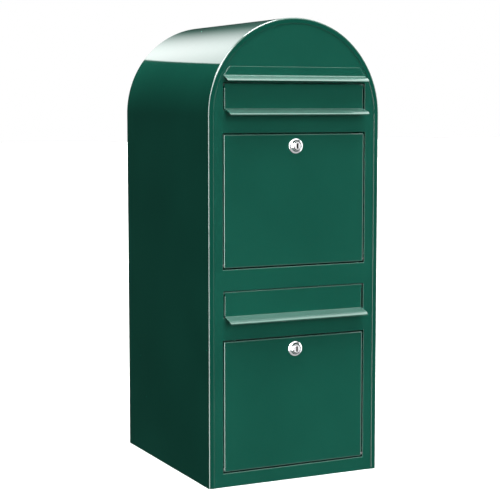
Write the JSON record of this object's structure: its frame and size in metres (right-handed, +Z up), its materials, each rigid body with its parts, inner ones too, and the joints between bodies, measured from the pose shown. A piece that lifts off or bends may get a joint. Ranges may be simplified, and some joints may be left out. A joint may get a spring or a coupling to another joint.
{
  "type": "twin-compartment mailbox",
  "caption": "Arched sheet-steel mailbox: lidded letter slots above locked doors that fold down, under a small rain hood.",
  "frame": {"origin": "middle of the whole object's outline, on the ground", "axes": "+Z up, +X to the right as seen from the front, the front faces -Y"},
  "size_m": [0.31, 0.3764, 0.7539],
  "materials": {
    "body_paint": "gloss powder coat, dark green",
    "front_paint": "gloss powder coat, dark green",
    "inner_paint": "satin powder coat, dark green",
    "chrome": "polished",
    "zinc": "zinc plated",
    "nylon": "matte",
    "rubber": "matte"
  },
  "bodies": {
    "housing": {"shell": "body_paint", "front_plate": "front_paint", "rain_hood": "front_paint", "back_panel": "body_paint", "base_plate": "inner_paint", "partition_shelf": "inner_paint", "upper_door_frame": "inner_paint", "lower_door_frame": "inner_paint", "upper_slot_frame": "inner_paint", "lower_slot_frame": "inner_paint", "upper_mail_guide": "inner_paint", "lower_mail_guide": "inner_paint", "upper_flap_rod": "zinc", "lower_flap_rod": "zinc", "upper_rod_clips": "zinc", "lower_rod_clips": "zinc", "upper_rod_spacers": "nylon", "lower_rod_spacers": "nylon", "upper_hinge_blocks": "zinc", "lower_hinge_blocks": "zinc", "upper_hinge_pins": "zinc", "lower_hinge_pins": "zinc", "upper_hinge_washers": "nylon", "lower_hinge_washers": "nylon", "upper_flap_buffers": "rubber", "lower_flap_buffers": "rubber", "upper_door_buffers": "rubber", "lower_door_buffers": "rubber"},
    "upper_flap": {"upper_flap": "front_paint"},
    "upper_door": {"upper_door": "front_paint", "upper_door_stiffener": "inner_paint", "upper_lock_body": "chrome", "upper_lock_nut": "zinc"},
    "upper_lock": {"upper_lock_plug": "chrome", "upper_lock_cam": "zinc", "upper_cam_screw": "zinc"},
    "lower_flap": {"lower_flap": "front_paint"},
    "lower_door": {"lower_door": "front_paint", "lower_door_stiffener": "inner_paint", "lower_lock_body": "chrome", "lower_lock_nut": "zinc"},
    "lower_lock": {"lower_lock_plug": "chrome", "lower_lock_cam": "zinc", "lower_cam_screw": "zinc"}
  },
  "joints": [
    {"name": "upper_flap_lift", "type": "hinge", "parent": "housing", "child": "upper_flap", "pos_m": [0, -0.16275, 0.64645], "axis": [-1, 0, 0], "range_deg": [0, 70]},
    {"name": "upper_door_open", "type": "hinge", "parent": "housing", "child": "upper_door", "pos_m": [0, -0.16365, 0.3597], "axis": [1, 0, 0], "range_deg": [0, 90]},
    {"name": "upper_lock_turn", "type": "hinge", "parent": "upper_door", "child": "upper_lock", "pos_m": [0, -0.16665, 0.549], "axis": [0, 1, 0], "range_deg": [0, 180]},
    {"name": "lower_flap_lift", "type": "hinge", "parent": "housing", "child": "lower_flap", "pos_m": [0, -0.16275, 0.31545], "axis": [-1, 0, 0], "range_deg": [0, 70]},
    {"name": "lower_door_open", "type": "hinge", "parent": "housing", "child": "lower_door", "pos_m": [0, -0.16365, 0.0287], "axis": [1, 0, 0], "range_deg": [0, 90]},
    {"name": "lower_lock_turn", "type": "hinge", "parent": "lower_door", "child": "lower_lock", "pos_m": [0, -0.16665, 0.218], "axis": [0, 1, 0], "range_deg": [0, 180]}
  ]
}
